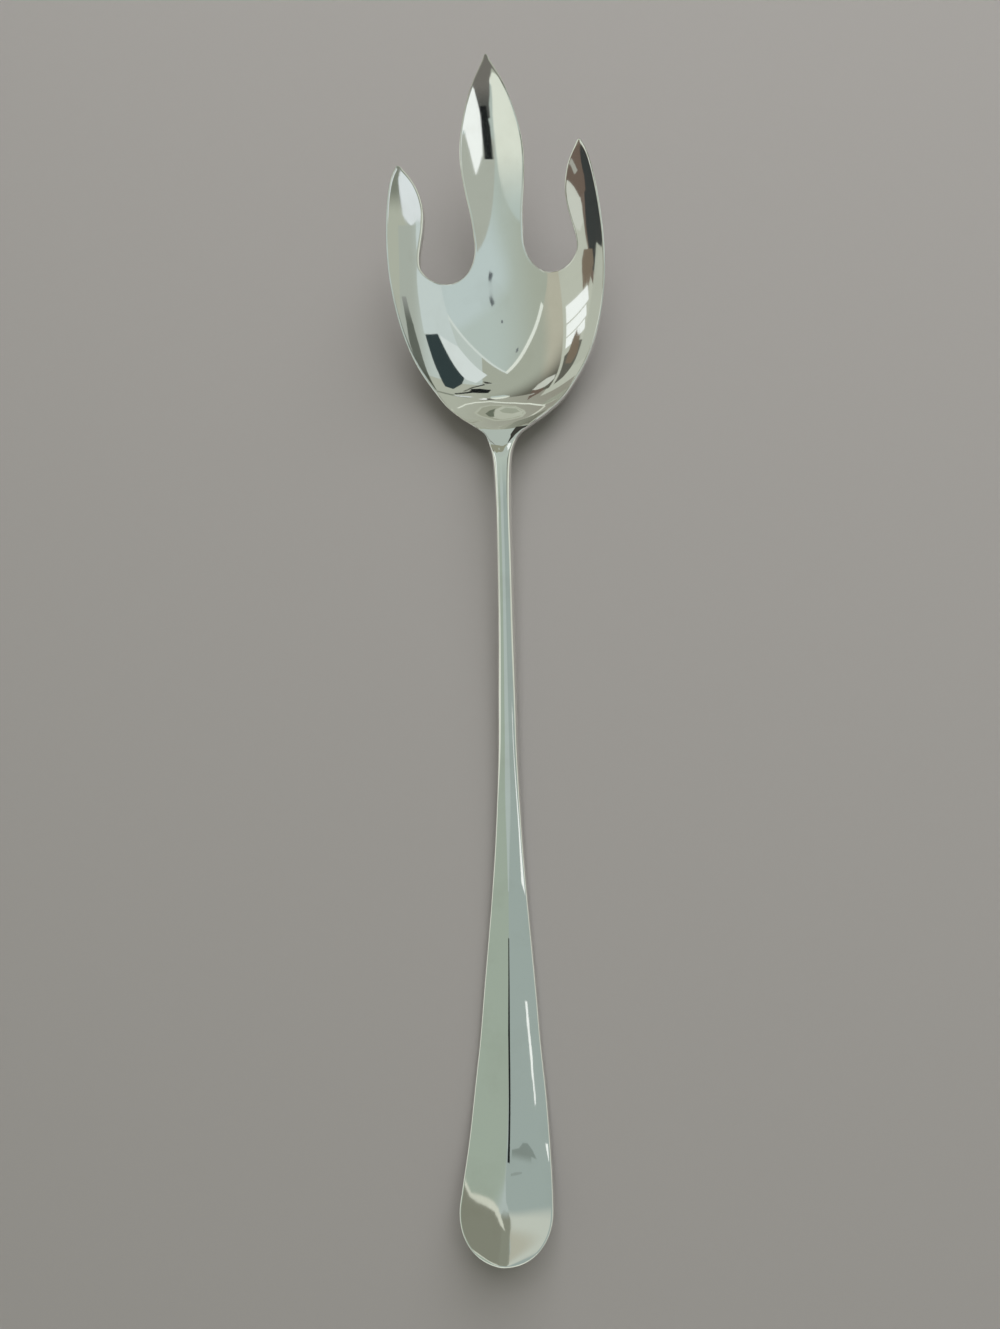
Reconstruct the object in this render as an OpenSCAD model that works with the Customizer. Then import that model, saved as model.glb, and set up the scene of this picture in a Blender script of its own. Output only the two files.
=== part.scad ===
// Three-tined serving fork: a pressed and pierced bowl soldered to a forged, ridged stem,
// with a rat tail along the back of the joint. Millimetres, lying face up on a table.
// X runs across, Y runs along the fork with the tines at +Y, and Z is up from the table.

/* [Overall] */
// Length from the handle's end to the tip of the centre tine
length = 260; // [244:1:280]

/* [Bowl] */
// Length from the neck to the tip of the centre tine
bowl_len = 85; // [81:1:89]
// Greatest width of the bowl
bowl_w = 50.2; // [46:0.2:55]
// Radius of the dish across the bowl at its widest
dish_r = 40; // [37:1:48]
// Rise of the centre tine's tip above the lowest part of the dish
tip_rise = 23; // [18:0.5:26]
// Thickness of the sheet in the bowl
sheet = 1.5; // [1.3:0.1:1.8]

/* [Tines] */
// Distance from the neck to the foot of each cut-out
cut_at = 39.7; // [38.5:0.1:41]
// Half-width at which the foot of each cut-out lies
cut_x = 13.6; // [12.8:0.1:14.4]
// Greatest width of the leaf-shaped centre tine
leaf_w = 15; // [14:0.2:16]
// Distance from the neck to the tips of the side tines
side_len = 61.6; // [60.6:0.1:62.6]
// Thickness of the sheet at the tips
tip_sheet = 1.1; // [0.9:0.1:1.3]
// Rounding along every edge of the sheet and the handle
edge_soft = 0.35; // [0.2:0.05:0.4]

/* [Stem] */
// Width of the stem at its narrowest, near the neck
neck_w = 3.6; // [3.2:0.1:4.2]
// Width of the handle's rounded end
end_w = 20; // [17:0.2:23]
// Height of the ridge along the front of the handle
ridge_h = 0.8; // [0.5:0.1:1.1]
// Thickness of the handle at its edges
edge_t = 1.6; // [1.4:0.1:1.9]
// Rise of the turned-up end above the handle's lowest part
end_lift = 9; // [7:0.1:10]

/* [Joint] */
// Distance of the scarf joint behind the neck
scarf_back = 8; // [7:0.5:9]
// Thickness of the solder between the pieces, with its clearances
film = 0.25; // [0.2:0.01:0.3]
// Greatest width of the rat tail
tail_w = 4.6; // [4:0.1:5.4]
// Depth of the rat tail where it is thickest
tail_h = 1.2; // [1:0.1:1.3]
// Length of the rat tail past the neck
tail_len = 36; // [32:1:39]

/* [Hidden] */
stem_len = length - bowl_len;
ks = stem_len / 175;
kv = bowl_len / 85;
kx = bowl_w / 50.2;
scarf = stem_len - scarf_back;
clear = film / 5;
// Radius of the outline's rounding at the handle's end, and the reach of the scarf's slant
end_round = 10;
scarf_reach = 4;
// Height of the dish's back over the table at its lowest, and the fall of its floor from the neck
stand = 0.9;
neck_fall = 7.2;
// Bulge of the stem's front and back over its edges: on the handle, and how much more near the neck
handle_crown = 0.12;
neck_crown = 0.78;
handle_belly = 0.5;
neck_belly = 1.1;

// Stations of the nominal shape. Each pair is a distance along the fork and a size there.
// The stem's distances run from the handle's end, the bowl's from the neck.
flare = [[0, 1.1], [8, 1.02], [12, 0.98], [22, 0.86], [32, 0.745], [42, 0.61], [52, 0.507], [62, 0.396],
    [72, 0.287], [83, 0.183], [94, 0.11], [105, 0.06], [118, 0.043], [132, 0.018], [148, 0.006], [160, 0]];
rim = [[-9, 1.92], [-5, 2.12], [-2, 2.5], [0, 3.1], [3, 4.4], [5, 6.6], [7.5, 10], [10, 13], [15, 17],
    [20, 20.3], [26, 22.9], [32, 24.4], [40, 25.1], [46, 24.8], [52, 24], [56, 23.2], [59, 22.3],
    [60.5, 21.6]];
leaf = [[8, 0.78], [13, 0.82], [18, 0.93], [22, 0.99], [25, 1], [28, 0.955], [32, 0.83], [36, 0.66],
    [40, 0.43], [43, 0.2], [45.3, 0.03]];
inner = [[3.4, 18.5], [5, 18.35], [7, 17.85], [9, 17.3], [11.5, 16.75], [14, 16.45], [16, 16.65],
    [17.7, 17.1], [19.2, 17.8], [20.5, 18.8], [21.5, 19.9]];
// Heights of the stem's front edges, the share of the turned-up end's rise, the heights of the dish's
// floor as shares of its fall from the neck and its rise to the tip, and the dish's radius across
arch = [[0, 2.1], [36, 2.1], [60, 2.1], [80, 2.7], [100, 3.5], [120, 4.5], [150, 6.8], [168, 8.9],
    [175, 9.6], [186, 9.9]];
turned = [[0, 1], [8, 0.567], [19, 0.167], [28, 0.03], [36, 0], [44, 0], [200, 0]];
heel = [[-12, 1.15], [-4, 1.1], [0, 1], [5, 0.53], [9, 0.23], [13, 0.06], [17, 0], [22, 0], [85, 0]];
rise = [[-12, 0], [12, 0], [17, 0], [21, 0.01], [26, 0.045], [35, 0.165], [43, 0.315], [52, 0.49],
    [61, 0.665], [69, 0.81], [77, 0.925], [85, 1]];
spread = [[-12, 0.7], [0, 0.7], [12, 0.94], [30, 1.02], [50, 0.93], [85, 0.81]];

// Smooth curve through stations
function seg(k, v, i = 0) = i >= len(k) - 2 || v < k[i + 1][0] ? i : seg(k, v, i + 1);
function rate(k, i) = (k[i + 1][1] - k[i][1]) / (k[i + 1][0] - k[i][0]);
function slope(k, i) =
    i == 0 ? rate(k, 0) :
    i == len(k) - 1 ? rate(k, i - 1) :
    let (a = k[i][0] - k[i - 1][0], b = k[i + 1][0] - k[i][0])
    (b * rate(k, i - 1) + a * rate(k, i)) / (a + b);
function curve(k, v) =
    let (i = seg(k, v), h = k[i + 1][0] - k[i][0], t = (v - k[i][0]) / h)
    k[i][1] * (1 + 2 * t) * (1 - t) * (1 - t) + k[i + 1][1] * t * t * (3 - 2 * t)
    + h * t * (1 - t) * (slope(k, i) * (1 - t) - slope(k, i + 1) * t);
function ease(t) = let (c = min(max(t, 0), 1)) c * c * (3 - 2 * c);
function mix(a, b, t) = a + (b - a) * t;

// Outline of the fork: half-width at a distance s from the handle's end
outline = concat(
    [for (p = flare) [p[0] * ks, neck_w / 2 + p[1] * (end_w - neck_w) / 2]],
    [for (p = rim) [stem_len + p[0] * kv, p[0] < 0 ? p[1] * neck_w / 3.6 : p[1] * kx]],
    [[stem_len + side_len, 20.9 * kx]]);
function half_w(s) = curve(outline, s) * (s < end_round ? sqrt(1 - pow(1 - max(s, 0.02) / end_round, 2)) : 1);

// Front and back of the stem at a share u of its half-width
function edge_z(s) = curve(arch, s / ks) + end_lift * curve(turned, s / ks);
function rim_t(s) = edge_t - 0.4 * ease((s / ks - 55) / 80);
function crown(s) = handle_crown + neck_crown * ease((s / ks - 60) / 75);
function belly(s) = handle_belly + neck_belly * ease((s / ks - 55) / 80);
function ridge(s) = ridge_h * ease((s / ks + 6) / 30) * (1 - ease((s / ks - 62) / 45));
function stem_top(u, s) = edge_z(s) + crown(s) * (1 - pow(abs(u), 3)) + ridge(s) * pow(1 - abs(u), 1.1);
function stem_back(u, s) = edge_z(s) - rim_t(s) - belly(s) * (1 - u * u);

// Front and back of the dish at x, with the sheet's thickness taken square to its slope
function floor_z(v) = sheet + stand + neck_fall * curve(heel, v) + tip_rise * curve(rise, v);
function dish_top(x, s) =
    let (v = (s - stem_len) / kv, r = dish_r * curve(spread, v))
    floor_z(v) + r - sqrt(r * r - x * x);
function dish_t(s) = mix(sheet, tip_sheet, min(max((s - stem_len - cut_at) / (bowl_len - cut_at), 0), 1));
function steep(x, s) =
    let (a = (dish_top(x, s + 0.2) - dish_top(x, s - 0.2)) / 0.4,
        b = (dish_top(x + 0.1, s) - dish_top(x - 0.1, s)) / 0.2)
    sqrt(1 + a * a + b * b);
function dish_back(x, s) = dish_top(x, s) - dish_t(s) * steep(x, s);

// The whole fork's front and back: the stem rolls over into the dish at the neck
function turn(s) = ease((s - stem_len + 5) / 11);
function front(x, s) =
    turn(s) <= 0 ? stem_top(x / half_w(s), s) :
    turn(s) >= 1 ? dish_top(x, s) :
    mix(stem_top(x / half_w(s), s), dish_top(x, s), turn(s));
function back(x, s) =
    turn(s) <= 0 ? stem_back(x / half_w(s), s) :
    turn(s) >= 1 ? dish_back(x, s) :
    mix(stem_back(x / half_w(s), s), dish_back(x, s), turn(s));

// A point on the fork's front or back, let in by the edge's rounding where it lies on an edge.
// Near the joint it slides along the fork until it lies on the scarf's slanted plane.
scarf_z = edge_z(scarf) - 1;
function lean(s) = max(1 - abs(s - scarf) / scarf_reach, 0);
function side_z(u, s, rear, on_edge) =
    let (x = u * half_w(s), z = rear ? back(x, s) : front(x, s))
    on_edge ? z + (rear ? 0.8 : -0.8) * edge_soft : z;
function slide(u, s, rear, on_edge, n) =
    n == 0 ? s : s - lean(s) * (side_z(u, slide(u, s, rear, on_edge, n - 1), rear, on_edge) - scarf_z);
function at(x, s, rear, on_edge = false) =
    let (u = x / half_w(s), t = lean(s) > 0 ? slide(u, s, rear, on_edge, 4) : s)
    [u * half_w(t), t - length / 2, side_z(u, t, rear, on_edge)];

// Quads of a grid of rows and columns as triangles, clockwise from outside
function skin(a, b, c, d) = [[a, b, c], [a, c, d]];
function grid(n, m, base, flip) = [for (i = [0 : n - 2]) for (j = [0 : m - 2])
    let (a = base + i * m + j, b = a + 1, c = b + m, d = a + m)
    each flip ? skin(a, b, c, d) : skin(a, d, c, b)];

// A closed plate between two grids of points that share their rows and columns
module plate(tops, backs) {
    n = len(tops);
    m = len(tops[0]);
    k = n * m;
    sides = [for (i = [0 : n - 2]) each concat(
        skin(i * m, k + i * m, k + (i + 1) * m, (i + 1) * m),
        skin((i + 2) * m - 1, k + (i + 2) * m - 1, k + (i + 1) * m - 1, (i + 1) * m - 1))];
    ends = [for (j = [0 : m - 2]) each concat(
        skin(j + 1, k + j + 1, k + j, j),
        skin(k - m + j, k + k - m + j, k + k - m + j + 1, k - m + j + 1))];
    polyhedron(
        points = concat([for (r = tops) each r], [for (r = backs) each r]),
        faces = concat(grid(n, m, 0, false), grid(n, m, k, true), sides, ends));
}

// The space under the table's top, which cuts the worn flats that the fork stands on
module table() {
    translate([-end_w, -length, -5])
    cube([2 * end_w, 2 * length, 5]);
}

// Stem: forged bar with a ridged front and a turned-up round end, cut to a scarf at the neck
stem_rows = concat(
    [for (a = [0 : 9 : 81]) end_round * (1 - cos(a))],
    [for (i = [0 : 38]) mix(end_round, scarf, i / 38)]);
function stem_us(s) = let (k = 1 - min(edge_soft / half_w(s), 0.2))
    [-1, -k, -0.75, -0.55, -0.35, -0.15, 0, 0.15, 0.35, 0.55, 0.75, k, 1];
function stem_row(s, rear) = [for (u = stem_us(s)) at(u * half_w(s), s, rear, abs(u) == 1)];
module stem() {
    color("Silver")
    difference() {
        plate([for (s = stem_rows) stem_row(s, false)], [for (s = stem_rows) stem_row(s, true)]);
        table();
    }
}

// Bowl: pressed sheet in three strips, which part where the cut-outs begin
foot = stem_len + cut_at;
foot_share = cut_x / half_w(foot);
tip_w = leaf_w / 2;
function bend(h, r) = 1 - sqrt(1 - pow(1 - h / r, 2));
function leaf_half(h) =
    h < 8 ? mix(tip_w * 0.78, cut_x, bend(h, 8)) : tip_w * curve(leaf, min(h, 45.3));
function inner_half(h) =
    h < 3.4 ? mix(18.5 * kx, cut_x, bend(h, 3.4)) : kx * curve(inner, h);
low_rows = concat(
    [for (i = [0 : 15]) mix(scarf + film, stem_len + 10, i / 15)],
    [for (i = [1 : 13]) mix(stem_len + 10, foot, i / 13)]);
leaf_end = bowl_len - cut_at;
side_end = side_len - cut_at;
leaf_rows = concat(
    [for (a = [12, 25, 38, 51, 64, 77, 90]) 8 * (1 - cos(a))],
    [for (i = [1 : 16]) mix(8, leaf_end - 6, i / 16)],
    [leaf_end - 4.5, leaf_end - 3, leaf_end - 1.8, leaf_end - 0.8, leaf_end]);
side_rows = concat(
    [for (a = [15, 32, 48, 64, 77, 90]) 3.4 * (1 - cos(a))],
    [for (i = [1 : 10]) mix(3.4, side_end - 2, i / 10)],
    [side_end - 1.3, side_end - 0.7, side_end - 0.2]);
// Shares across a strip, with a narrow column beside each true edge for its rounding
centre_us = [-0.8, -0.55, -0.28, 0, 0.28, 0.55, 0.8];
side_us = [0.15, 0.32, 0.5, 0.68, 0.84];
function centre_u(w, cut) =
    let (k = cut ? 1 - min(edge_soft / w, 0.18) : 0.9)
    concat([-1, -k], centre_us, [k, 1]);
function side_u(w, cut) =
    let (k = min(edge_soft / w, 0.13))
    concat([0, cut ? k : 0.07], side_us, [1 - k, 1]);
nl = len(low_rows);
function strip(a, b, us) = [for (u = us) mix(a, b, u)];
centre_xs = concat(
    [for (s = low_rows)
        let (w = foot_share * half_w(s))
        [s, w * centre_u(w, false)]],
    [for (h = leaf_rows)
        let (w = leaf_half(h))
        [foot + h, w * centre_u(w, true)]]);
side_xs = concat(
    [for (s = low_rows)
        let (w = half_w(s))
        [s, strip(foot_share * w, w, side_u(w * (1 - foot_share), false))]],
    [for (h = side_rows)
        let (a = inner_half(h), w = half_w(foot + h))
        [foot + h, strip(a, w, side_u(w - a, true))]]);
nc = len(centre_xs);
nd = len(side_xs);
mc = len(centre_us) + 4;
md = len(side_us) + 4;
// Point numbers: centre front, centre back, right front, right back, left front, left back
b1 = nc * mc;
b2 = 2 * b1;
b3 = nd * md;
F = false;
B = true;
function cen(i, j, rear) = (rear ? b1 : 0) + i * mc + j;
function rgt(i, j, rear) = j == 0 && i < nl ? cen(i, mc - 1, rear) : b2 + (rear ? b3 : 0) + i * md + j;
function lft(i, j, rear) = j == 0 && i < nl ? cen(i, 0, rear) : b2 + 2 * b3 + (rear ? b3 : 0) + i * md + j;
// Front or back points of a strip. An outer column is always an edge, an inner one only past the foot.
function pts(xs, sgn, rear, outer, inner) = [for (i = [0 : len(xs) - 1]) let (s = xs[i][0], r = xs[i][1])
    for (j = [0 : len(r) - 1])
    at(sgn * r[j], s, rear, (j == len(r) - 1 && (outer || i >= nl)) || (j == 0 && inner && i >= nl))];
module bowl() {
    points = concat(
        pts(centre_xs, 1, false, false, true), pts(centre_xs, 1, true, false, true),
        pts(side_xs, 1, false, true, true), pts(side_xs, 1, true, true, true),
        pts(side_xs, -1, false, true, true), pts(side_xs, -1, true, true, true));
    centre = [for (i = [0 : nc - 2]) for (j = [0 : mc - 2]) each concat(
        skin(cen(i, j, F), cen(i + 1, j, F), cen(i + 1, j + 1, F), cen(i, j + 1, F)),
        skin(cen(i, j, B), cen(i, j + 1, B), cen(i + 1, j + 1, B), cen(i + 1, j, B)))];
    right = [for (i = [0 : nd - 2]) for (j = [0 : md - 2]) each concat(
        skin(rgt(i, j, F), rgt(i + 1, j, F), rgt(i + 1, j + 1, F), rgt(i, j + 1, F)),
        skin(rgt(i, j, B), rgt(i, j + 1, B), rgt(i + 1, j + 1, B), rgt(i + 1, j, B)))];
    left = [for (i = [0 : nd - 2]) for (j = [0 : md - 2]) each concat(
        skin(lft(i, j, F), lft(i, j + 1, F), lft(i + 1, j + 1, F), lft(i + 1, j, F)),
        skin(lft(i, j, B), lft(i + 1, j, B), lft(i + 1, j + 1, B), lft(i, j + 1, B)))];
    rims = [for (i = [0 : nd - 2]) each concat(
        skin(rgt(i, md - 1, F), rgt(i + 1, md - 1, F), rgt(i + 1, md - 1, B), rgt(i, md - 1, B)),
        skin(lft(i, md - 1, B), lft(i + 1, md - 1, B), lft(i + 1, md - 1, F), lft(i, md - 1, F)))];
    leaf_walls = [for (i = [nl - 1 : nc - 2]) each concat(
        skin(cen(i, mc - 1, F), cen(i + 1, mc - 1, F), cen(i + 1, mc - 1, B), cen(i, mc - 1, B)),
        skin(cen(i, 0, B), cen(i + 1, 0, B), cen(i + 1, 0, F), cen(i, 0, F)))];
    side_walls = [for (i = [nl - 1 : nd - 2]) each concat(
        skin(rgt(i, 0, B), rgt(i + 1, 0, B), rgt(i + 1, 0, F), rgt(i, 0, F)),
        skin(lft(i, 0, F), lft(i + 1, 0, F), lft(i + 1, 0, B), lft(i, 0, B)))];
    ends = [for (j = [0 : mc - 2]) each concat(
        skin(cen(0, j, F), cen(0, j + 1, F), cen(0, j + 1, B), cen(0, j, B)),
        skin(cen(nc - 1, j, B), cen(nc - 1, j + 1, B), cen(nc - 1, j + 1, F), cen(nc - 1, j, F)))];
    side_ends = [for (j = [0 : md - 2]) each concat(
        skin(rgt(0, j, F), rgt(0, j + 1, F), rgt(0, j + 1, B), rgt(0, j, B)),
        skin(lft(0, j, B), lft(0, j + 1, B), lft(0, j + 1, F), lft(0, j, F)),
        skin(rgt(nd - 1, j, B), rgt(nd - 1, j + 1, B), rgt(nd - 1, j + 1, F), rgt(nd - 1, j, F)),
        skin(lft(nd - 1, j, F), lft(nd - 1, j + 1, F), lft(nd - 1, j + 1, B), lft(nd - 1, j, B)))];
    color("Gainsboro")
    polyhedron(points, concat(centre, right, left, rims, leaf_walls, side_walls, ends, side_ends));
}

// Rat tail: tapered half-round wire along the back of the joint, worn flat where the fork stands on it
tail_from = scarf - 6;
tail_to = stem_len + tail_len;
tail_rows = [for (i = [0 : 26]) mix(tail_from, tail_to, i / 26)];
tail_u = [-1, -0.85, -0.6, -0.3, 0, 0.3, 0.6, 0.85, 1];
function tail_share(s) = (s - tail_from) / (tail_to - tail_from);
function tail_half(s) =
    let (t = tail_share(s))
    min(tail_w / 2, 0.94 * half_w(s)) * mix(1, 0.12, ease((t - 0.4) / 0.6));
function tail_deep(s) =
    let (t = tail_share(s))
    tail_h * mix(0.12, 1, ease(t / 0.38)) * mix(1, 0.1, ease((t - 0.45) / 0.55));
function under(x, s, d) = [x, s - length / 2, back(x, s) - d];
function tail_low(x, s, u) = back(x, s) - film - 0.1 - tail_deep(s) * sqrt(1 - u * u);
module rat_tail() {
    color("LightSteelBlue")
    difference() {
        plate(
            [for (s = tail_rows) [for (u = tail_u) under(u * tail_half(s), s, film)]],
            [for (s = tail_rows) [for (u = tail_u)
                [u * tail_half(s), s - length / 2, tail_low(u * tail_half(s), s, u)]]]);
        table();
    }
}

// Solder: a thin film in the scarf, and one between the rat tail and the back of the joint
module neck_solder() {
    rows = [scarf + clear, scarf + film - clear];
    color("Goldenrod")
    plate([for (s = rows) stem_row(s, false)], [for (s = rows) stem_row(s, true)]);
}
module tail_solder() {
    color("Goldenrod")
    plate(
        [for (s = tail_rows) [for (u = tail_u) under(0.9 * u * tail_half(s), s, clear)]],
        [for (s = tail_rows) [for (u = tail_u) under(0.9 * u * tail_half(s), s, film - clear)]]);
}

bowl();
stem();
rat_tail();
neck_solder();
tail_solder();
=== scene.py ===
import math

import bmesh
import bpy
import numpy as np
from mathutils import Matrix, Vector, geometry, kdtree


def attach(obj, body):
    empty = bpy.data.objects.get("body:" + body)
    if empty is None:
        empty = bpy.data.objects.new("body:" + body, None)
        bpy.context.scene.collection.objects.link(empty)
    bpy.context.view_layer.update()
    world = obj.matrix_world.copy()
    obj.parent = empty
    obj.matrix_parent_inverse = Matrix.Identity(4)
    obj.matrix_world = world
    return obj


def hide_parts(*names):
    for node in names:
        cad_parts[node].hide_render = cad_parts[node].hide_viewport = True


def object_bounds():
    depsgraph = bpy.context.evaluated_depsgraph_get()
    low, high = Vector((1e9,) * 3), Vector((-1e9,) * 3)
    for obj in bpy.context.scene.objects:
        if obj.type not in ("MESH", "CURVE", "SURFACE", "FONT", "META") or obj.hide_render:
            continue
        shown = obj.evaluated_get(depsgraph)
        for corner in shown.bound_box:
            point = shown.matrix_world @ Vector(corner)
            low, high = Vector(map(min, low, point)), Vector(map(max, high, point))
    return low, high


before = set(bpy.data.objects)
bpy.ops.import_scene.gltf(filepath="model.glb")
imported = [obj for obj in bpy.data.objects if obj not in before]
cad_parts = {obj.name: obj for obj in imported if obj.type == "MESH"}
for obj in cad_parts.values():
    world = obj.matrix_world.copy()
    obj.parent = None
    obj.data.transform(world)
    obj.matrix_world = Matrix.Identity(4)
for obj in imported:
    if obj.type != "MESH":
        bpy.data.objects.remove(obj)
cad_low, cad_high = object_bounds()

# Bowl: sheet metal pierced to three tines and pressed to a deep dish, silver-plated and polished
# bright. Its neck end is cut to a slanted scarf, and the stem is soldered to it there.
# Lengths are in millimetres, and distances along the fork run from the handle's end.
MM = 0.001
HANDLE_END = cad_low.y / MM
LENGTH = (cad_high.y - cad_low.y) / MM
NECK = LENGTH - 85
FOOT = NECK + 39.7
FOOT_X = 13.6
SIDE_TIP = NECK + 61.6
TIP_GAP = 0.25
DISH_RADIUS = 40
SHEET = 1.5
TIP_SHEET = 1.1
EDGE_ROUND = 0.4
END_ROUND = 10
LEAF_BEND = 8
INNER_BEND = 3.4
RIDGE = 0.8
CREST_SOFT = 0.03
WORN_FLAT = 0.12
# Room for the rounded edges: plenty, the share of the metal's half-width they may take, and the least
AMPLE = 9.0
ROOM_SHARE = 0.45
LEAST_ROUND = 0.1
# The scarf, how far from it the metal leans with it, and the two faces of the solder in it
SCARF = NECK - 8
SCARF_REACH = 4
SCARF_SLIDE = 1.9
SOLDER_FROM, SOLDER_TO = SCARF + 0.08, SCARF + 0.17
# Where the stem's section rolls over into the dish, which starts sooner in the middle
ROLL_FROM, ROLL_RUN = NECK - 5, 11
ROLL_LEAD = 3
# How finely curves are sampled and meshes are made
TABLE_STEP = 0.1
STRAY = 25
KERNEL_REACH = 4
MESH_STEP = 0.5
RIM_RINGS = 5
RIM_BORDER = 1.5
FIELD_CLEAR = 0.6
HALF_COLUMNS = 60
NECK_POINTS = 10
BEND_SAMPLES, INNER_SAMPLES, LEAF_SAMPLES, OUTER_SAMPLES = 80, 300, 400, 900
QUARTER_TURN = 1.57
LEAST_WIDTH = 0.05
WELD = 0.002
SHARP_DEGREES = 30

# Stations of the bowl, as distances past the neck and sizes there
RIM = [(-9, 1.92), (-5, 2.12), (-2, 2.5), (0, 3.1), (3, 4.4), (5, 6.6), (7.5, 10), (10, 13), (15, 17),
       (20, 20.3), (26, 22.9), (32, 24.4), (40, 25.1), (46, 24.8), (52, 24), (56, 23.2), (59, 22.3),
       (60.5, 21.6), (61.6, 20.9)]
DISH_FLOOR = [(-12, 10.7), (-4, 10.3), (0, 9.6), (5, 6.2), (9, 4.05), (13, 2.85), (17, 2.4), (21, 2.63),
              (26, 3.45), (35, 6.2), (43, 9.65), (52, 13.7), (61, 17.7), (69, 21), (77, 23.7), (85, 25.4)]
DISH_SPREAD = [(-12, 0.7), (0, 0.7), (12, 0.94), (30, 1.02), (50, 0.93), (85, 0.81)]
# Half-width of the leaf-shaped middle tine and of the side tines' inner edges past the cut-outs' feet
LEAF = [(8, 5.85), (13, 6.15), (18, 6.98), (22, 7.43), (25, 7.5), (28, 7.16), (32, 6.23), (36, 4.95),
        (40, 3.23), (43, 1.5), (45.3, 0.23)]
INNER = [(3.4, 18.5), (5, 18.35), (7, 17.85), (9, 17.3), (11.5, 16.75), (14, 16.45), (16, 16.65),
         (17.7, 17.1), (19.2, 17.8), (20.5, 18.8), (21.9, 20.3)]
# Half-widths of the stem, and heights of its front edges, from the handle's end
FLARE = [(0, 10.82), (8, 10.16), (12, 9.84), (22, 8.85), (32, 7.91), (42, 6.8), (52, 5.96), (62, 5.05),
         (72, 4.15), (83, 3.3), (94, 2.7), (105, 2.29), (118, 2.15), (132, 1.95), (148, 1.85), (160, 1.8)]
ARCH = [(0, 2.1), (36, 2.1), (60, 2.1), (80, 2.7), (100, 3.5), (120, 4.5), (150, 6.8), (168, 8.9),
        (175, 9.6), (186, 9.9)]
# Rise of the turned-up end, and the shares of it along the handle
END_LIFT = 9
TURNED = [(0, 1), (8, 0.567), (19, 0.167), (28, 0.03), (36, 0), (44, 0)]


def flow(stations, ease):
    """A flowing line through stations, eased over some millimetres as polishing eases a surface."""
    place, size = np.array(stations, float).T
    slope = np.gradient(size, place)
    at = np.arange(-STRAY, LENGTH + STRAY, TABLE_STEP)
    inside = np.clip(at, place[0], place[-1])
    i = np.clip(np.searchsorted(place, inside, "right") - 1, 0, len(place) - 2)
    gap = place[i + 1] - place[i]
    t = (inside - place[i]) / gap
    line = size[i] * (1 + 2 * t) * (1 - t) ** 2 + size[i + 1] * t * t * (3 - 2 * t)
    line += gap * t * (1 - t) * (slope[i] * (1 - t) - slope[i + 1] * t)
    line += (at - inside) * np.where(at < place[0], slope[0], slope[-1])
    count = int(KERNEL_REACH * ease / TABLE_STEP)
    weight = np.exp(-0.5 * (np.arange(-count, count + 1) * TABLE_STEP / ease) ** 2)
    line = np.convolve(np.pad(line, count, mode="edge"), weight / weight.sum(), "valid")
    return lambda s: np.interp(s, at, line)


def past_neck(stations):
    """Stations past the neck, counted from the handle's end instead."""
    return [(NECK + place, size) for place, size in stations]


def ramp(t):
    """A smooth step from 0 to 1."""
    t = np.clip(t, 0, 1)
    return t * t * t * (10 - 15 * t + 6 * t * t)


def change(place, span, sizes):
    """A size that passes smoothly from the first to the second over a span of places."""
    return sizes[0] + (sizes[1] - sizes[0]) * ramp((place - span[0]) / (span[1] - span[0]))


rim_line = flow(FLARE + past_neck(RIM), 0.8)
dish_floor = flow(past_neck(DISH_FLOOR), 2.5)
dish_spread = flow(past_neck(DISH_SPREAD), 4)
stem_arch = flow(ARCH, 4)
end_turn = flow(TURNED, 2)
leaf_line = flow(LEAF, 0.8)
inner_line = flow(INNER, 0.5)


def half_width(s):
    """Half-width of the fork's outline, rounded off over the handle's end."""
    gone = np.clip(1 - s / END_ROUND, 0, 1)
    return rim_line(s) * np.sqrt(1 - gone * gone)


def bend(h, height, foot, side):
    """Half-width of a cut-out's edge in the round bend at its foot."""
    share = np.clip(1 - h / height, 0, 1)
    return side + (foot - side) * (1 - np.sqrt(1 - share * share))


def leaf_half(h):
    """Half-width of the middle tine at a height past the cut-outs' feet."""
    return np.where(h < LEAF_BEND, bend(h, LEAF_BEND, FOOT_X, leaf_line(LEAF_BEND)), leaf_line(h))


def inner_half(h):
    """Half the distance between the side tines' inner edges at that height."""
    return np.where(h < INNER_BEND, bend(h, INNER_BEND, FOOT_X, inner_line(INNER_BEND)), inner_line(h))


def form_values(x, s, soft):
    """What the form needs to know at each point of a flat blank: the sizes of the fork's section there."""
    across = x / np.maximum(half_width(s), LEAST_WIDTH)
    lead = ROLL_LEAD * (1 - np.clip(np.abs(across), 0, 1))
    return {
        "across": across,
        "edge": (stem_arch(s) + END_LIFT * end_turn(s)) * MM,
        "thin": change(s, (55, 135), (1.6, 1.2)) * MM,
        "crown": change(s, (60, 135), (0.12, 0.9)) * MM,
        "belly": change(s, (55, 135), (0.5, 1.6)) * MM,
        "ridge": RIDGE * change(s, (-6, 24), (0, 1)) * change(s, (62, 107), (1, 0)) * MM,
        "soft": soft,
        "floor": dish_floor(s) * MM,
        "pitch": dish_floor(s + 0.5) - dish_floor(s - 0.5),
        "spread": dish_spread(s),
        "taper": np.clip((s - FOOT) / (LENGTH - FOOT), 0, 1),
        "turn": ramp((s - ROLL_FROM + lead) / ROLL_RUN),
    }


def calculator(tree):
    """A short way to add Math nodes to a tree."""
    def calc(operation, *values):
        node = tree.nodes.new("ShaderNodeMath")
        node.operation = operation
        for socket, value in zip(node.inputs, values):
            if isinstance(value, bpy.types.NodeSocket):
                tree.links.new(value, socket)
            else:
                socket.default_value = value
        return node.outputs[0]
    return calc


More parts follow.
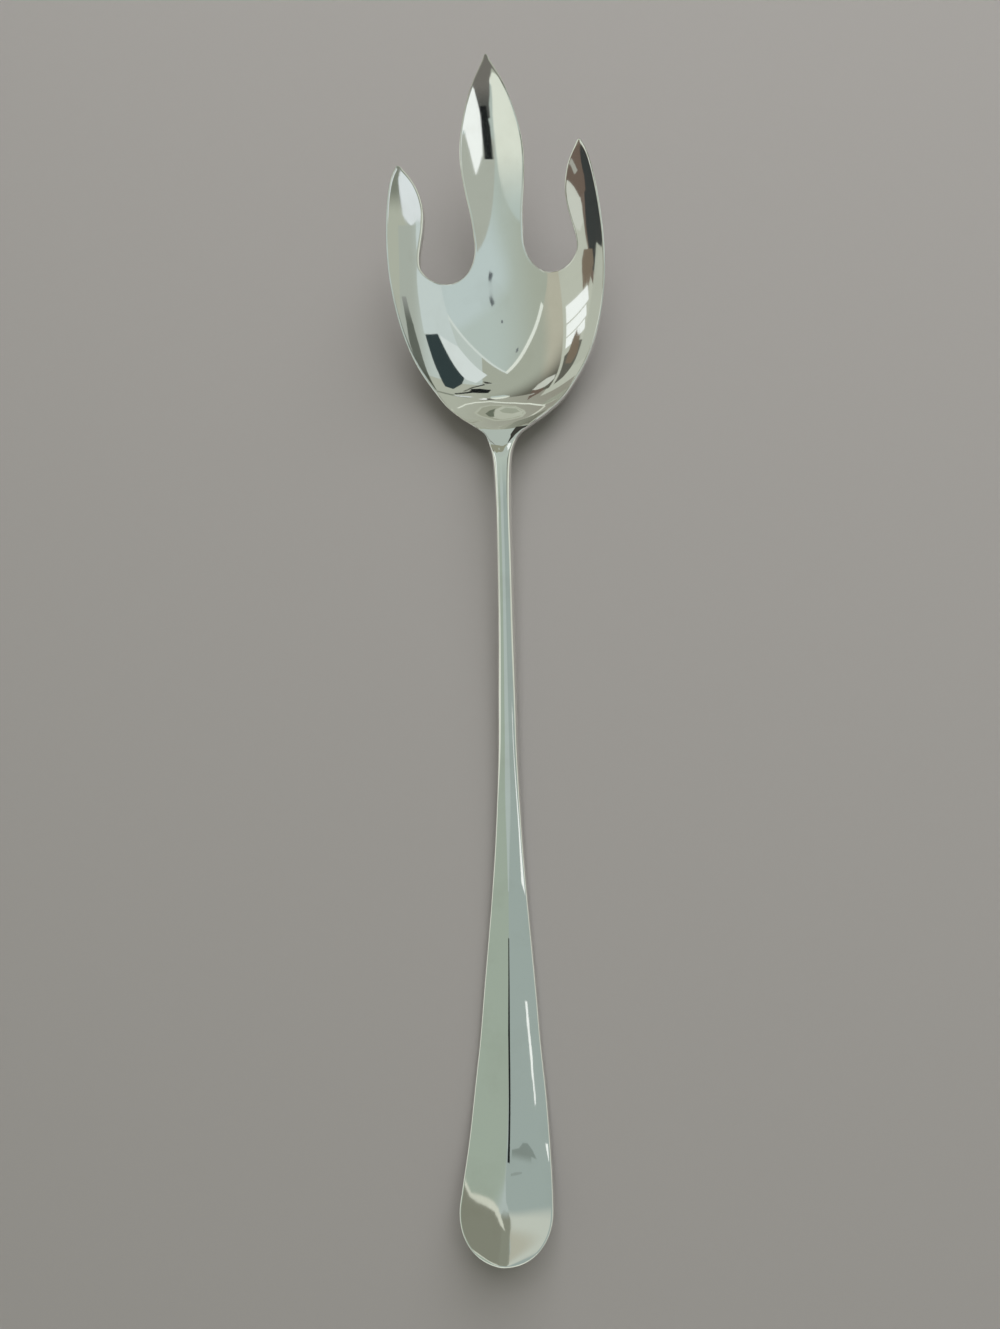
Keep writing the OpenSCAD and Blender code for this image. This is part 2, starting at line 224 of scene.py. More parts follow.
def build_form():
    """Geometry Nodes tree that raises a flat blank to the fork's shape: a crowned and ridged stem
    that rolls over, at the neck, into a dish with a round section and an even sheet."""
    tree = bpy.data.node_groups.new("fork_form", "GeometryNodeTree")
    face = tree.interface
    face.new_socket("Geometry", in_out="INPUT", socket_type="NodeSocketGeometry")
    for name in ("Dish Radius", "Sheet", "Tip Sheet", "Worn Flat"):
        face.new_socket(name, in_out="INPUT", socket_type="NodeSocketFloat")
    face.new_socket("Material", in_out="INPUT", socket_type="NodeSocketMaterial")
    face.new_socket("Geometry", in_out="OUTPUT", socket_type="NodeSocketGeometry")
    given = tree.nodes.new("NodeGroupInput").outputs
    calc = calculator(tree)

    def read(name):
        node = tree.nodes.new("GeometryNodeInputNamedAttribute")
        node.data_type = "FLOAT"
        node.inputs["Name"].default_value = name
        return node.outputs["Attribute"]

    def mix(a, b, share):
        return calc("MULTIPLY_ADD", calc("SUBTRACT", b, a), share, a)

    place = tree.nodes.new("ShaderNodeSeparateXYZ")
    tree.links.new(tree.nodes.new("GeometryNodeInputPosition").outputs[0], place.inputs[0])
    x, y = place.outputs["X"], place.outputs["Y"]
    across = calc("ABSOLUTE", read("across"))
    square = calc("POWER", across, 2.0)
    flat_top = calc("SUBTRACT", 1.0, calc("POWER", across, 3.0))
    round_back = calc("SUBTRACT", 1.0, square)
    crest = calc("SUBTRACT", 1.0, calc("SQRT", calc("ADD", square, calc("POWER", read("soft"), 2.0))))
    stem_front = calc("MULTIPLY_ADD", read("crown"), flat_top, read("edge"))
    stem_front = calc("MULTIPLY_ADD", read("ridge"), crest, stem_front)
    depth = calc("MULTIPLY_ADD", read("belly"), round_back, read("thin"))
    stem_back = calc("SUBTRACT", read("edge"), depth)

    radius = calc("MULTIPLY", given["Dish Radius"], read("spread"))
    root = calc("SQRT", calc("SUBTRACT", calc("POWER", radius, 2.0), calc("POWER", x, 2.0)))
    dish_front = calc("ADD", read("floor"), calc("SUBTRACT", radius, root))
    lean = calc("ADD", calc("POWER", read("pitch"), 2.0), calc("POWER", calc("DIVIDE", x, root), 2.0))
    steep = calc("SQRT", calc("ADD", 1.0, lean))
    sheet = mix(given["Sheet"], given["Tip Sheet"], read("taper"))
    dish_back = calc("SUBTRACT", dish_front, calc("MULTIPLY", sheet, steep))

    front = mix(stem_front, dish_front, read("turn"))
    back = mix(stem_back, dish_back, read("turn"))
    height = calc("SUBTRACT", mix(front, back, read("share")), read("drop"))
    worn = calc("SQRT", calc("ADD", calc("POWER", height, 2.0), calc("POWER", given["Worn Flat"], 2.0)))
    height = calc("MULTIPLY", 0.5, calc("ADD", height, worn))

    point = tree.nodes.new("ShaderNodeCombineXYZ")
    for socket, value in zip(point.inputs, (x, y, height)):
        tree.links.new(value, socket)
    chain = given["Geometry"]
    for kind, socket, value in (("GeometryNodeSetPosition", "Position", point.outputs[0]),
                                ("GeometryNodeSetShadeSmooth", None, None),
                                ("GeometryNodeRealizeInstances", None, None),
                                ("GeometryNodeSetMaterial", "Material", given["Material"])):
        node = tree.nodes.new(kind)
        tree.links.new(chain, node.inputs[0])
        if socket:
            tree.links.new(value, node.inputs[socket])
        chain = node.outputs[0]
    tree.links.new(chain, tree.nodes.new("NodeGroupOutput").inputs[0])
    return tree


fork_form = build_form()


def slanted(x, s, share):
    """Slides the points near the joint along the fork, so that both its faces lie on one slope."""
    lean = np.clip(1 - np.abs(s - SCARF) / SCARF_REACH, 0, None)
    moved = s - SCARF_SLIDE * lean * (1 - 2 * share)
    return x * half_width(moved) / half_width(s), moved


def raise_blank(name, x, s, share, drop, rim, faces, material, soft=CREST_SOFT):
    """Makes a flat blank, raises it with the form, and returns it as a plain mesh in the fork's frame.
    Share is the depth through the metal, drop a further depth, and rim 1 on the outer edges."""
    x, s = slanted(x, s, share)
    mesh = bpy.data.meshes.new(name)
    mesh.from_pydata(np.c_[x * MM, (s + HANDLE_END) * MM, 0 * s].tolist(), [], faces)
    values = form_values(x, s, soft)
    values.update(share=share, drop=drop * MM, rim=rim)
    for key, value in values.items():
        mesh.attributes.new(key, "FLOAT", "POINT").data.foreach_set("value", np.float32(value + 0 * s))
    piece = bpy.data.objects.new(name, mesh)
    bpy.context.scene.collection.objects.link(piece)
    modifier = piece.modifiers.new("form", "NODES")
    modifier.node_group = fork_form
    sizes = {"Dish Radius": DISH_RADIUS * MM, "Sheet": SHEET * MM, "Tip Sheet": TIP_SHEET * MM,
             "Worn Flat": WORN_FLAT * MM, "Material": material}
    for socket in fork_form.interface.items_tree:
        if socket.name in sizes:
            modifier[socket.identifier] = sizes[socket.name]
    raised = bpy.data.meshes.new_from_object(piece.evaluated_get(bpy.context.evaluated_depsgraph_get()))
    piece.modifiers.clear()
    piece.data = raised
    raised.name = name
    for key in set(values) - {"rim"}:
        raised.attributes.remove(raised.attributes[key])
    work = bmesh.new()
    work.from_mesh(raised)
    bmesh.ops.remove_doubles(work, verts=work.verts, dist=WELD * MM)
    work.to_mesh(raised)
    work.free()
    raised.set_sharp_from_angle(angle=math.radians(SHARP_DEGREES))
    return piece


def even(line):
    """The same line with its points evenly spaced."""
    line = np.array(line)
    run = np.r_[0, np.cumsum(np.hypot(*np.diff(line, axis=0).T))]
    at = np.linspace(0, run[-1], max(int(run[-1] / MESH_STEP), 2) + 1)
    return np.c_[np.interp(at, run, line[:, 0]), np.interp(at, run, line[:, 1])]


def outline_side():
    """The right edge of the bowl from the neck, round the side tine and the cut-out, to the middle tip,
    with the share of the edge's full rounding that the metal has room for at each point."""
    round_foot = 1 - np.cos(np.linspace(0, QUARTER_TURN, BEND_SAMPLES))
    s = np.linspace(SOLDER_TO, SIDE_TIP - TIP_GAP, OUTER_SAMPLES)
    outer = even(np.c_[half_width(s), s])
    h = np.r_[INNER_BEND * round_foot,
              np.linspace(INNER_BEND, SIDE_TIP - TIP_GAP - FOOT, INNER_SAMPLES)[1:]]
    inner = even(np.c_[inner_half(h), FOOT + h])[::-1]
    h = np.r_[LEAF_BEND * round_foot, np.linspace(LEAF_BEND, LENGTH - TIP_GAP - FOOT, LEAF_SAMPLES)[1:]]
    leaf = even(np.c_[leaf_half(h), FOOT + h])
    tip = [[(outer[-1, 0] + inner[0, 0]) / 2, SIDE_TIP]]
    line = np.r_[outer, tip, inner, leaf[1:]]
    h = line[:, 1] - FOOT
    n, k = len(outer), len(outer) + 1 + len(inner)
    room = np.full(len(line), AMPLE)
    tine = (half_width(line[:, 1]) - inner_half(h)) / 2
    room[:k] = np.where(h[:k] > 0, tine[:k], AMPLE)
    room[k:] = leaf_half(h[k:])
    room[n] = room[n - 1]
    return line, np.clip(ROOM_SHARE * room / EDGE_ROUND, LEAST_ROUND, 1)


def make_bowl(material):
    """The pierced sheet: a field of triangles in a rounded rim, the same as its back, and its edges."""
    right, right_room = outline_side()
    line = np.r_[right, [[0, LENGTH]], right[::-1] * [-1, 1]]
    rounding = EDGE_ROUND * np.r_[right_room, right_room[-1], right_room[::-1]]
    ahead = np.gradient(line, axis=0)
    ahead[0] = ahead[-1] = 0
    ahead[0, 1], ahead[-1, 1] = 1, -1
    inward = np.c_[-ahead[:, 1], ahead[:, 0]] / np.hypot(*ahead.T)[:, None]
    n = len(line)
    # The rounded rim: rings of points let in from the outline
    turn = np.linspace(np.pi / 2, 0, RIM_RINGS + 1)
    rings = [line + inward * (rounding * (1 - np.sin(a)))[:, None] for a in turn]
    drops = [rounding * (1 - np.cos(a)) for a in turn]
    last = line + inward * (RIM_BORDER * rounding)[:, None]
    bands = len(rings)
    # The field inside the last ring: a grid of points that keep clear of it, joined by triangles
    neck = np.linspace(last[-1], last[0], NECK_POINTS)[1:-1]
    border = np.r_[last, neck]
    near = kdtree.KDTree(len(border))
    for i, (x, s) in enumerate(border):
        near.insert((x, s, 0), i)
    near.balance()
    columns = np.arange(-HALF_COLUMNS, HALF_COLUMNS + 1) * MESH_STEP
    field = []
    for s in np.arange(last[0, 1], LENGTH, MESH_STEP):
        h = s - FOOT
        for x in columns:
            wide = abs(x)
            inside = wide < half_width(s) and s < SIDE_TIP and (h < 0 or wide > inner_half(h))
            inside = inside or (h > 0 and wide < leaf_half(h))
            if inside and near.find((x, s, 0))[2] > FIELD_CLEAR * MESH_STEP:
                field.append((x, s))
    flat = np.r_[border, np.array(field)]
    loop = [(i, (i + 1) % len(border)) for i in range(len(border))]
    found = geometry.delaunay_2d_cdt([Vector(p) for p in flat], loop, [], 1, 1e-6)
    kept = [ids[0] for ids in found[3]]
    base = bands * n
    points = np.r_[np.concatenate(rings), flat]
    drop = np.r_[np.concatenate(drops), np.zeros(len(flat))]
    rim = np.r_[np.repeat(np.linspace(1, 0, RIM_RINGS + 1), n), np.zeros(len(flat))]
    faces = [tuple(base + kept[i] for i in face) for face in found[2]]
    for k in range(bands):
        for i in range(n - 1):
            a = k * n + i
            faces.append((a, a + 1, a + n + 1, a + n))
    count = len(points)
    backs = [tuple(count + i for i in reversed(face)) for face in faces]
    # The wall round the edge, and the end face in the joint
    chain = list(range(n)) + [k * n + n - 1 for k in range(1, bands + 1)]
    chain += [base + n + i for i in range(len(neck))] + [k * n for k in range(bands, 0, -1)] + [0]
    walls = [(a, count + a, count + b, b) for a, b in zip(chain[:-1], chain[1:])]
    x, s = np.r_[points, points].T
    share = np.repeat([0.0, 1.0], count)
    return raise_blank("bowl_pressed", x, s, share, np.r_[drop, -drop], np.r_[rim, rim],
                       faces + backs + walls, material)


# Colour sockets of a Mix node
MIX_FIRST, MIX_SECOND, MIX_RESULT = 6, 7, 2
# Dark specks: how close they stand, how wide they are and how few are picked
SPECK_SCALE = 130
SPECK_SIZE = 0.035
SPECK_PICK = 0.86
SPECK_STAIN = 0.3
SPECK_DEPTH = 0.8
SPECK_COLOUR = (0.1, 0.1, 0.11, 1)
# What clouds, hairlines, stains and worn rims add to the polish
CLOUD_CONTRAST = 3.0
HAIR_HEIGHT = 0.012
HAIR_ROUGH = 0.05
HAIR_MIDDLE = 0.02
STAIN_ROUGH = 0.12
RIM_ROUGH = 0.04


def build_polish():
    """Shader group for hand-polished silver plate: long hairlines, a slow waver of the surface, faint
    warm tarnish that gathers in clouds, and a few dark specks."""
    tree = bpy.data.node_groups.new("hand_polish", "ShaderNodeTree")
    face = tree.interface
    face.new_socket("Coordinates", in_out="INPUT", socket_type="NodeSocketVector")
    for name in ("Bright", "Tarnish"):
        face.new_socket(name, in_out="INPUT", socket_type="NodeSocketColor")
    for name in ("Haze", "Tarnish Amount", "Rim"):
        face.new_socket(name, in_out="INPUT", socket_type="NodeSocketFloat")
    face.new_socket("Color", in_out="OUTPUT", socket_type="NodeSocketColor")
    for name in ("Roughness", "Height"):
        face.new_socket(name, in_out="OUTPUT", socket_type="NodeSocketFloat")
    given = tree.nodes.new("NodeGroupInput").outputs
    made = tree.nodes.new("NodeGroupOutput").inputs
    calc = calculator(tree)

    def noise(scale, detail, stretch=(1, 1, 1)):
        mapping = tree.nodes.new("ShaderNodeMapping")
        mapping.inputs["Scale"].default_value = stretch
        tree.links.new(given["Coordinates"], mapping.inputs["Vector"])
        node = tree.nodes.new("ShaderNodeTexNoise")
        node.inputs["Scale"].default_value = scale
        node.inputs["Detail"].default_value = detail
        tree.links.new(mapping.outputs[0], node.inputs["Vector"])
        return node.outputs[0]

    waver = noise(scale=70, detail=1)
    hairs = noise(scale=900, detail=3, stretch=(4, 0.12, 1))
    clouds = noise(scale=120, detail=4)
    spots = tree.nodes.new("ShaderNodeTexVoronoi")
    spots.inputs["Scale"].default_value = SPECK_SCALE
    tree.links.new(given["Coordinates"], spots.inputs["Vector"])
    speck = calc("LESS_THAN", spots.outputs["Distance"], SPECK_SIZE)
    picked = tree.nodes.new("ShaderNodeSeparateColor")
    tree.links.new(spots.outputs["Color"], picked.inputs[0])
    speck = calc("MULTIPLY", speck, calc("GREATER_THAN", picked.outputs[0], SPECK_PICK))
    cloud = calc("MAXIMUM", calc("MULTIPLY_ADD", clouds, CLOUD_CONTRAST, -0.5 * CLOUD_CONTRAST), 0.0)
    cloud = calc("MULTIPLY", cloud, given["Tarnish Amount"])
    stain = calc("MINIMUM", calc("MULTIPLY_ADD", speck, SPECK_STAIN, cloud), 1.0)
    tint = tree.nodes.new("ShaderNodeMix")
    tint.data_type = "RGBA"
    tree.links.new(stain, tint.inputs[0])
    tree.links.new(given["Bright"], tint.inputs[MIX_FIRST])
    tree.links.new(given["Tarnish"], tint.inputs[MIX_SECOND])
    spotted = tree.nodes.new("ShaderNodeMix")
    spotted.data_type = "RGBA"
    tree.links.new(calc("MULTIPLY", speck, SPECK_DEPTH), spotted.inputs[0])
    tree.links.new(tint.outputs[MIX_RESULT], spotted.inputs[MIX_FIRST])
    spotted.inputs[MIX_SECOND].default_value = SPECK_COLOUR
    rough = calc("MULTIPLY_ADD", hairs, HAIR_ROUGH, calc("SUBTRACT", given["Haze"], HAIR_MIDDLE))
    rough = calc("ADD", rough, calc("MULTIPLY", stain, STAIN_ROUGH))
    rough = calc("MULTIPLY_ADD", given["Rim"], RIM_ROUGH, rough)
    height = calc("MULTIPLY_ADD", hairs, HAIR_HEIGHT, waver)
    tree.links.new(spotted.outputs[MIX_RESULT], made["Color"])
    tree.links.new(rough, made["Roughness"])
    tree.links.new(height, made["Height"])
    return tree


hand_polish = build_polish()
BRIGHT = (0.93, 0.93, 0.9)
TARNISH = (0.42, 0.36, 0.27)


def silver(name, bright, haze, tarnish_amount, waver):
    """Polished metal: every finish on the fork is this one, with its own brightness and haze."""
    material = bpy.data.materials.new(name)
    material.use_nodes = True
    nodes, links = material.node_tree.nodes, material.node_tree.links
    shader = nodes["Principled BSDF"]
    shader.inputs["Metallic"].default_value = 1
    polish = nodes.new("ShaderNodeGroup")
    polish.node_tree = hand_polish
    links.new(nodes.new("ShaderNodeTexCoord").outputs["Object"], polish.inputs["Coordinates"])
    polish.inputs["Bright"].default_value = (*bright, 1)
    polish.inputs["Tarnish"].default_value = (*TARNISH, 1)
    polish.inputs["Haze"].default_value = haze
    polish.inputs["Tarnish Amount"].default_value = tarnish_amount
    rim = nodes.new("ShaderNodeAttribute")
    rim.attribute_name = "rim"
    links.new(rim.outputs["Fac"], polish.inputs["Rim"])
    bump = nodes.new("ShaderNodeBump")
    bump.inputs["Distance"].default_value = waver * MM
    links.new(polish.outputs["Height"], bump.inputs["Height"])
    links.new(polish.outputs["Color"], shader.inputs["Base Color"])
    links.new(polish.outputs["Roughness"], shader.inputs["Roughness"])
    links.new(bump.outputs[0], shader.inputs["Normal"])
    return material


silver_bowl = silver("silver_bowl", BRIGHT, haze=0.03, tarnish_amount=0.12, waver=0.03)
bowl = make_bowl(silver_bowl)
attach(bowl, "root")
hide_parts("bowl")

# Stem: a forged bar of the same metal, thin and crowned at the neck, with a flat, ridged handle
# that widens to a turned-up round end. Its upper end is cut to the other half of the scarf.
CREST = [0, 0.012, 0.03, 0.06, 0.1, 0.16, 0.24, 0.34, 0.45, 0.56, 0.67, 0.77, 0.86, 0.94, 0.975, 0.99]
END_ROWS = 28
STEM_ROWS = 230
# The end's first row is so narrow that welding closes it
END_SLIVER = 0.00005


def loft(shape, closed_ends):
    """Faces round a row of closed loops of equal length, with a cap across each end that is to be closed."""
    rows, m = shape
    faces = [(i * m + j, i * m + (j + 1) % m, (i + 1) * m + (j + 1) % m, (i + 1) * m + j)
             for i in range(rows - 1) for j in range(m)]
    caps = []
    for j in range(m // 2 - 1):
        cap = (j, j + 1, m - 2 - j, m - 1 - j)
        caps.append([tuple(reversed(cap)), tuple((rows - 1) * m + c for c in cap)])
    return faces + [cap[k] for cap in caps for k in (0, 1) if closed_ends[k]]


def bar_blank(rows):
    """Loops of points round a flat bar whose outline is the fork's own, with rounded edges."""
    w = half_width(rows)
    gone = np.clip(1 - rows / END_ROUND, 0, 1)
    slope = np.gradient(w, rows)
    side = np.where(gone > 0, np.sqrt(1 - gone * gone), 1 / np.hypot(1, slope))
    down = np.where(gone > 0, gone, slope * side)
    turn = np.linspace(np.pi / 2, 0, RIM_RINGS + 1)
    let_in = EDGE_ROUND * (1 - np.sin(turn))
    drop = EDGE_ROUND * (1 - np.cos(turn))
    us = np.r_[-np.array(CREST[:0:-1]), CREST]
    loops = []
    for wi, si, nx, ns in zip(w, rows, side, down):
        right = [(wi - d * nx, si + d * ns, z) for d, z in zip(let_in, drop)]
        x1, s1, _ = right[-1]
        front = [(-x, s, z) for x, s, z in right] + [(u * x1, s1, 0) for u in us] + right[::-1]
        loops.append([(x, s, 0, z) for x, s, z in front] + [(x, s, 1, -z) for x, s, z in front[::-1]])
    rim = np.r_[np.linspace(1, 0, RIM_RINGS + 1), 0 * us, np.linspace(0, 1, RIM_RINGS + 1)]
    points = np.array(loops)
    return points.reshape(-1, 4).T, points.shape[:2], np.tile(np.r_[rim, rim[::-1]], len(rows))


def make_bar(name, rows, closed_ends, material):
    """A length of the bar, with the handle's crest sharp and the rest of it soft."""
    (x, s, share, drop), shape, rim = bar_blank(rows)
    soft = CREST_SOFT + change(s, (62, 102), (0, 0.4)) + change(s, (0, 18), (0.12, 0))
    return raise_blank(name, x, s, share, drop, rim, loft(shape, closed_ends), material, soft)


silver_stem = silver("silver_stem", BRIGHT, haze=0.03, tarnish_amount=0.12, waver=0.05)
stem_rows = np.r_[END_ROUND * (1 - np.cos(np.linspace(END_SLIVER, np.pi / 2, END_ROWS))),
                  np.linspace(END_ROUND, SOLDER_FROM, STEM_ROWS)[1:]]
stem = make_bar("stem_forged", stem_rows, (False, True), silver_stem)
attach(stem, "root")
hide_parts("stem")

# Neck solder: the thin seam of silver solder that fills the scarf, run in hot, filed flush with the
# stem and the bowl, and plated over with them.
solder_look = silver("solder", BRIGHT, haze=0.03, tarnish_amount=0.12, waver=0.03)
neck_solder = make_bar("neck_solder_seam", np.array([SOLDER_FROM, SOLDER_TO]), (True, True), solder_look)
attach(neck_solder, "root")
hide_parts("neck_solder")

# Rat tail: a tapered half-round wire soldered along the back of the joint to stiffen it, and worn
# flat where the fork stands on it.
TAIL_FROM, TAIL_TO = SCARF - 6, NECK + 36
TAIL_HALF = 2.3
TAIL_DEEP = 1.2
TAIL_EDGE = 0.1
TAIL_SHARE = 0.7
TAIL_ROWS = 110
TAIL_POINTS = 25
TAIL_BRIGHT = (0.92, 0.92, 0.89)
FILM = 0.25


def along_tail(s):
    """Share of the rat tail's length that lies before a place."""
    return (s - TAIL_FROM) / (TAIL_TO - TAIL_FROM)


def tail_half(s):
    """Half-width of the rat tail, which stays behind the stem and runs out to a point."""
    return np.minimum(TAIL_HALF, TAIL_SHARE * half_width(s)) * change(along_tail(s), (0.4, 1), (1, 0.12))


def tail_deep(s):
    """Depth of the rat tail, thin at both ends."""
    t = along_tail(s)
    return TAIL_DEEP * change(t, (0, 0.38), (0.12, 1)) * change(t, (0.45, 1), (1, 0.1))


def make_strip(name, width, top, low, material):
    """A strip along the back of the joint. Top and low give its depth behind the back at a share across."""
    rows = np.linspace(TAIL_FROM, TAIL_TO, TAIL_ROWS)
    u = np.sin(np.linspace(-np.pi / 2, np.pi / 2, TAIL_POINTS))
    s, us = (grid.ravel() for grid in np.meshgrid(rows, np.r_[u, u[::-1]], indexing="ij"))
    behind = np.tile(np.repeat([0, 1], len(u)), len(rows))
    drop = np.where(behind == 0, top(us, s), low(us, s))
    faces = loft((len(rows), 2 * len(u)), (True, True))
    return raise_blank(name, us * width * tail_half(s), s, 1 + 0 * s, drop, 0 * s, faces, material)


silver_tail = silver("silver_tail", TAIL_BRIGHT, haze=0.05, tarnish_amount=0.2, waver=0.008)
rat_tail = make_strip("rat_tail_wire", 1, lambda u, s: FILM + 0 * u,
                      lambda u, s: FILM + TAIL_EDGE + tail_deep(s) * np.sqrt(1 - u * u), silver_tail)
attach(rat_tail, "root")
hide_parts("rat_tail")

# Tail solder: the film between the rat tail and the back of the joint, which runs out past the
# wire's edges in a thin fillet.
FILLET_WIDTH = 1.1
FILLET_TOP = 0.02
FILLET_LOW = 0.03
tail_solder = make_strip("tail_solder_fillet", FILLET_WIDTH, lambda u, s: FILLET_TOP + 0 * u,
                         lambda u, s: FILLET_LOW + (FILM - FILLET_LOW) * np.sqrt(1 - u * u), solder_look)
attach(tail_solder, "root")
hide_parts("tail_solder")

# Floor: a plain pale sheet that the fork lies on, far wider than the view. It takes the fork's soft
# shadow and has no shine of its own.
FLOOR_COLOUR = (0.365, 0.345, 0.345)


def plane(name, corners, material):
    """A flat sheet of the stage."""
    mesh = bpy.data.meshes.new(name)
    mesh.from_pydata(corners, [], [tuple(range(len(corners)))])
    mesh.materials.append(material)
    piece = bpy.data.objects.new(name, mesh)
    bpy.context.scene.collection.objects.link(piece)
    return piece


floor_look = bpy.data.materials.new("floor_paper")
floor_look.use_nodes = True
floor_paper = floor_look.node_tree.nodes["Principled BSDF"].inputs
floor_paper["Base Color"].default_value = (*FLOOR_COLOUR, 1)
floor_paper["Roughness"].default_value = 0.9
floor_paper["Specular IOR Level"].default_value = 0
plane("floor", [(-3, -3, 0), (3, -3, 0), (3, 3, 0), (-3, 3, 0)], floor_look)

# Light: a wide pale sheet overhead with bright strips along two of its edges, white panels and dark
# flags beyond it, and small cards close to the fork. The camera sees none of them, but the metal does.
world = bpy.data.worlds.new("studio")
bpy.context.scene.world = world
world.use_nodes = True
sky_nodes, sky_links = world.node_tree.nodes, world.node_tree.links
sky_side = sky_nodes.new("ShaderNodeSeparateXYZ")
sky_links.new(sky_nodes.new("ShaderNodeTexCoord").outputs["Generated"], sky_side.inputs[0])
sky_walls = sky_nodes.new("ShaderNodeValToRGB")
sky_walls.color_ramp.elements[0].position = 0.25
sky_walls.color_ramp.elements[0].color = (0.3, 0.3, 0.25, 1)
sky_walls.color_ramp.elements[1].position = 0.6
sky_walls.color_ramp.elements[1].color = (0.42, 0.45, 0.38, 1)
sky_share = sky_nodes.new("ShaderNodeMapRange")
sky_share.inputs["From Min"].default_value = -1
sky_links.new(sky_side.outputs["X"], sky_share.inputs["Value"])
sky_links.new(sky_share.outputs[0], sky_walls.inputs[0])
sky_links.new(sky_walls.outputs[0], sky_nodes["Background"].inputs["Color"])


def card(name, corners, colour, *fades):
    """A panel that only the metal sees. Each fade is a further colour, a direction, and the two distances
    along it, in metres, between which the card turns to that colour."""
    look = bpy.data.materials.new(name)
    look.use_nodes = True
    nodes, links = look.node_tree.nodes, look.node_tree.links
    nodes.remove(nodes["Principled BSDF"])
    glow = nodes.new("ShaderNodeEmission")
    glow.inputs["Color"].default_value = (*colour, 1)
    links.new(glow.outputs[0], nodes["Material Output"].inputs["Surface"])
    for further, direction, (begin, end) in fades:
        along = nodes.new("ShaderNodeVectorMath")
        along.operation = "DOT_PRODUCT"
        along.inputs[1].default_value = direction
        links.new(nodes.new("ShaderNodeTexCoord").outputs["Object"], along.inputs[0])
        share = nodes.new("ShaderNodeMapRange")
        share.interpolation_type = "SMOOTHSTEP"
        share.inputs["From Min"].default_value = begin
        share.inputs["From Max"].default_value = end
        links.new(along.outputs["Value"], share.inputs["Value"])
        tint = nodes.new("ShaderNodeMix")
        tint.data_type = "RGBA"
        links.new(share.outputs[0], tint.inputs[0])
        tint.inputs[MIX_FIRST].default_value = glow.inputs["Color"].default_value
        if glow.inputs["Color"].is_linked:
            links.new(glow.inputs["Color"].links[0].from_socket, tint.inputs[MIX_FIRST])
        tint.inputs[MIX_SECOND].default_value = (*further, 1)
        links.new(tint.outputs[MIX_RESULT], glow.inputs["Color"])
    panel = plane(name, corners, look)
    panel.visible_camera = False
    panel.visible_shadow = False
    panel.visible_diffuse = False


def overhead(name, height, corners, colour, *fades):
    """A level panel high above the fork, with its corners and height in metres."""
    card(name, [(x, y, height) for x, y in corners], colour, *fades)


def beyond(name, distance, corners, colour, unit=1):
    """An upright card across the fork's line, with its corners given across and upward."""
    card(name, [(x * unit, distance * unit, z * unit) for x, z in corners], colour)


def beside(name, distance, corners, colour, unit=1):
    """An upright card at the fork's side, with its corners given along the fork and upward."""
    card(name, [(distance * unit, y * unit, z * unit) for y, z in corners], colour)


BLACK = (0.012, 0.014, 0.014)
DARK = (0.045, 0.045, 0.038)
BROWN = (0.16, 0.155, 0.14)
PALE = (0.49, 0.56, 0.53)
CREAM = (0.72, 0.77, 0.68)
WHITE = (0.9, 0.95, 0.93)
EAST, NORTH, WEST = (1, 0, 0), (0, 1, 0), (-1, 0, 0)
CORNER, NEAR, SLANT = (-0.6, 0.8, 0), (0.7, -1.8, 0), (-0.35, 0.94, 0)

# High over the fork
overhead("backdrop_left", 1.6, [(-1.62, -2), (-1.62, 1.95), (0.1, 1.5), (0.1, -2)], (0.37, 0.4, 0.335),
         ((0.46, 0.455, 0.37), WEST, (0.95, 1.3)), ((0.12, 0.12, 0.095), CORNER, (1.05, 1.95)))
overhead("backdrop_far_left", 1.62, [(-6, -2.5), (-6, 2.5), (-1.55, 2.5), (-1.55, -2.5)],
         (0.49, 0.52, 0.445))
overhead("backdrop_right", 1.61, [(-0.05, -2), (-0.05, 0.9), (1.9, 0.9), (1.9, -2)], PALE,
         ((0.39, 0.43, 0.385), EAST, (1, 1.5)))
SHEET_CORNER = Vector((-0.31, 0.566))
LEFT_RUN, RIGHT_RUN = Vector((-0.707, -0.707)), Vector((0.783, -0.622))
left_end, right_end = SHEET_CORNER + 3 * LEFT_RUN, SHEET_CORNER + 1.8 * RIGHT_RUN
overhead("sheet", 1.55, [SHEET_CORNER, left_end, left_end + 3 * RIGHT_RUN, right_end], (0.375, 0.415, 0.35),
         ((0.45, 0.53, 0.5), EAST, (-1, 0)), ((0.5, 0.59, 0.585), NEAR, (0.3, 0.62)))
for name, run, length, side, wide, colour in (
        ("left", LEFT_RUN, 1.04, RIGHT_RUN, 0.06, (0.74, 0.79, 0.72)),
        ("right", RIGHT_RUN, 1.8, LEFT_RUN, 0.03, (0.62, 0.69, 0.66))):
    start, stop = SHEET_CORNER, SHEET_CORNER + length * run
    overhead("strip_" + name, 1.54, [start, stop, stop + wide * side, start + wide * side], colour)
overhead("panel_middle", 1.5, [(0.02, 0.54), (0.2, 0.77), (0.38, 0.68), (0.78, 0.02), (0.46, 0.12)],
         (0.66, 0.73, 0.72))
overhead("panel_low", 1.5, [(0.46, 0.12), (0.78, 0.02), (1.1, 0.06), (1.25, -0.5), (0.7, -0.4)],
         (0.55, 0.63, 0.62))
overhead("flag_right", 1.49, [(0.62, 1.14), (0.78, 1.1), (0.87, 0.65), (1.07, 0.07), (0.8, 0.01),
                              (0.39, 0.65), (0.44, 0.85)], (0.033, 0.05, 0.052))
